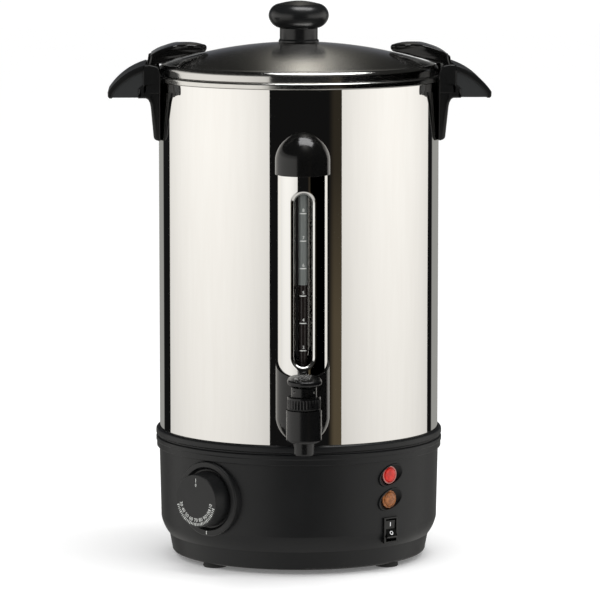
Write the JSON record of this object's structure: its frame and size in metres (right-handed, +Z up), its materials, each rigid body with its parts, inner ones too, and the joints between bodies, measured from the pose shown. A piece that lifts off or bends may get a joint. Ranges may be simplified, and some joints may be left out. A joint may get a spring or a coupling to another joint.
{
  "type": "hot water urn",
  "caption": "Countertop electric hot-water and coffee urn: steel shell, domed lid with locks, side handles, sight gauge, lever tap, and a heated black base with dial, lamps and switch.",
  "frame": {"origin": "on the vessel's vertical axis, at the level of the floor under the rubber feet", "axes": "+Z up along the vessel's axis; the tap and gauge face -Y; the handles lie along +X and -X"},
  "size_m": [0.318, 0.3098, 0.465],
  "materials": {
    "tank_steel": "satin drawn stainless steel",
    "shell_steel": "mirror-polished stainless steel",
    "lid_steel": "spun stainless steel",
    "screw_steel": "bright steel",
    "gauge_chrome": "polished chrome plate",
    "knob_black": "polished black phenolic",
    "handle_black": "satin black phenolic",
    "lock_black": "semi-gloss black phenolic",
    "base_black": "satin black moulded plastic",
    "gloss_black": "glossy black plastic",
    "tap_black": "semi-gloss black plastic",
    "dial_black": "satin black plastic",
    "rocker_black": "glossy black plastic",
    "inlet_black": "matt black plastic",
    "inner_plastic": "natural heat-proof plastic",
    "silicone": "translucent silicone rubber",
    "foot_rubber": "black rubber",
    "gauge_glass": "clear glass tube",
    "lens_red": "translucent red lens",
    "lens_amber": "translucent amber lens",
    "plate_aluminium": "cast aluminium",
    "element_steel": "oxidised steel sheath",
    "pin_brass": "plated brass"
  },
  "bodies": {
    "urn": {"inner_tank": "tank_steel", "outer_shell": "shell_steel", "base_collar": "base_black", "base_housing": "base_black", "bottom_cover": "base_black", "bottom_screws": "screw_steel", "base_studs": "screw_steel", "rubber_feet": "foot_rubber", "handle_left": "handle_black", "handle_right": "handle_black", "handle_screws": "screw_steel", "lock_pin_left": "screw_steel", "lock_pin_right": "screw_steel", "gauge_cover": "gauge_chrome", "gauge_cap": "gloss_black", "gauge_lower_housing": "gloss_black", "gauge_tube": "gauge_glass", "gauge_seals": "silicone", "gauge_bracket": "inner_plastic", "tap_body": "tap_black", "tap_nozzle": "tap_black", "tap_bonnet": "tap_black", "lever_pin": "screw_steel", "tap_spring": "screw_steel", "shank_nut": "screw_steel", "shank_seal": "silicone", "dial_bezel": "dial_black", "thermostat_body": "inner_plastic", "lamp_surround_red": "base_black", "lamp_surround_amber": "base_black", "lamp_red": "lens_red", "lamp_amber": "lens_amber", "lamp_bodies": "inner_plastic", "rocker_frame": "rocker_black", "switch_tabs": "screw_steel", "heating_plate": "plate_aluminium", "heating_element": "element_steel", "keep_warm_element": "element_steel", "thermal_cutout": "inner_plastic", "terminal_block": "inner_plastic", "inlet_socket": "inlet_black", "inlet_pins": "pin_brass", "inlet_screws": "screw_steel"},
    "lid": {"lid": "lid_steel", "lid_knob": "knob_black", "knob_screw": "screw_steel", "knob_washer": "screw_steel"},
    "lock_left": {"lock_left": "lock_black"},
    "lock_right": {"lock_right": "lock_black"},
    "dial": {"dial_knob": "dial_black", "thermostat_shaft": "screw_steel"},
    "rocker": {"rocker": "rocker_black"},
    "tap_lever": {"tap_lever": "tap_black"},
    "tap_stem": {"tap_stem": "screw_steel", "tap_seat_cup": "silicone"}
  },
  "joints": [
    {"name": "lid_lift", "type": "slide", "parent": "urn", "child": "lid", "axis": [0, 0, 1], "range_m": [0, 0.012]},
    {"name": "lock_left_swing", "type": "hinge", "parent": "urn", "child": "lock_left", "pos_m": [-0.1227, 0, 0.4095], "axis": [0, -1, 0], "range_deg": [0, 88]},
    {"name": "lock_right_swing", "type": "hinge", "parent": "urn", "child": "lock_right", "pos_m": [0.1227, 0, 0.4095], "axis": [0, 1, 0], "range_deg": [0, 88]},
    {"name": "dial_turn", "type": "hinge", "parent": "urn", "child": "dial", "pos_m": [-0.0763, -0.0887, 0.0612], "axis": [-0.6521, -0.7581, 0], "range_deg": [-75, 180]},
    {"name": "rocker_tip", "type": "hinge", "parent": "urn", "child": "rocker", "pos_m": [0.07002, -0.08708, 0.0348], "axis": [0.7793, 0.6266, 0], "range_deg": [0, 24]},
    {"name": "tap_lever_press", "type": "hinge", "parent": "urn", "child": "tap_lever", "pos_m": [0, -0.1664, 0.16], "axis": [1, 0, 0], "range_deg": [0, 15], "stiffness_Nm_per_rad": 0.3, "springref_deg": -8.59},
    {"name": "tap_stem_lift", "type": "slide", "parent": "urn", "child": "tap_stem", "axis": [0, 0, 1], "range_m": [0, 0.0019], "deforming": ["tap_spring"]}
  ],
  "couplings": [
    {"joint": "lock_left_swing", "follows": "lid_lift", "rad_per_m": 127.98},
    {"joint": "lock_right_swing", "follows": "lid_lift", "rad_per_m": 127.98},
    {"joint": "tap_stem_lift", "follows": "tap_lever_press", "m_per_rad": 0.0068}
  ]
}
